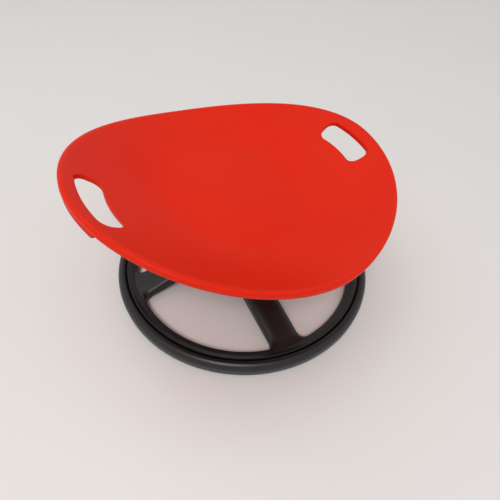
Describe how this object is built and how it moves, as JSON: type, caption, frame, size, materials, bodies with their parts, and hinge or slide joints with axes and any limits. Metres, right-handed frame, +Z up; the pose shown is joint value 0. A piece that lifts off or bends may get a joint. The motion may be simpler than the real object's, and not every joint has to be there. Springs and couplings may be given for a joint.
{
  "type": "toddler spinning seat",
  "caption": "Low dished seat with hand slots that a toddler turns on a leaning ball-bearing hub, on a spoked ring base with a rubber floor tyre.",
  "frame": {"origin": "centre of the floor ring, on the floor", "axes": "+Z up; at rest the two hand slots lie along X and the high side of the saucer faces -Y; the spin axis leans towards +X and -Y"},
  "size_m": [0.5101, 0.456, 0.2747],
  "materials": {
    "seat_plastic": "satin moulded, red",
    "base_plastic": "fine moulded grain, black",
    "tyre_rubber": "soft black rubber",
    "zinc_steel": "zinc plated",
    "bearing_steel": "ground and polished",
    "cage_brass": "turned",
    "seal_rubber": "moulded black rubber"
  },
  "bodies": {
    "base": {"base_frame": "base_plastic", "floor_tyre": "tyre_rubber", "bearing_sleeve": "zinc_steel", "sleeve_ring": "zinc_steel", "upper_outer_race": "bearing_steel", "lower_outer_race": "bearing_steel", "upper_seals": "seal_rubber", "lower_seals": "seal_rubber", "bottom_cap": "base_plastic"},
    "seat": {"seat_shell": "seat_plastic", "flange_plate": "zinc_steel", "spindle": "zinc_steel", "flange_screws": "zinc_steel", "spindle_seal": "seal_rubber", "upper_inner_race": "bearing_steel", "lower_inner_race": "bearing_steel", "bearing_spacer": "zinc_steel", "spindle_washer": "zinc_steel", "spindle_nut": "zinc_steel"},
    "upper_ball_set": {"upper_balls": "bearing_steel", "upper_cage": "cage_brass"},
    "lower_ball_set": {"lower_balls": "bearing_steel", "lower_cage": "cage_brass"}
  },
  "joints": [
    {"name": "seat_spin", "type": "hinge", "parent": "base", "child": "seat", "pos_m": [0, 0, 0.243], "axis": [0.1192, -0.1446, 0.9823], "continuous": true},
    {"name": "upper_cage_spin", "type": "hinge", "parent": "base", "child": "upper_ball_set", "pos_m": [0, 0, 0.243], "axis": [0.1192, -0.1446, 0.9823], "continuous": true},
    {"name": "lower_cage_spin", "type": "hinge", "parent": "base", "child": "lower_ball_set", "pos_m": [0, 0, 0.243], "axis": [0.1192, -0.1446, 0.9823], "continuous": true}
  ],
  "couplings": [
    {"joint": "upper_cage_spin", "follows": "seat_spin", "ratio": 0.38},
    {"joint": "lower_cage_spin", "follows": "seat_spin", "ratio": 0.38}
  ]
}
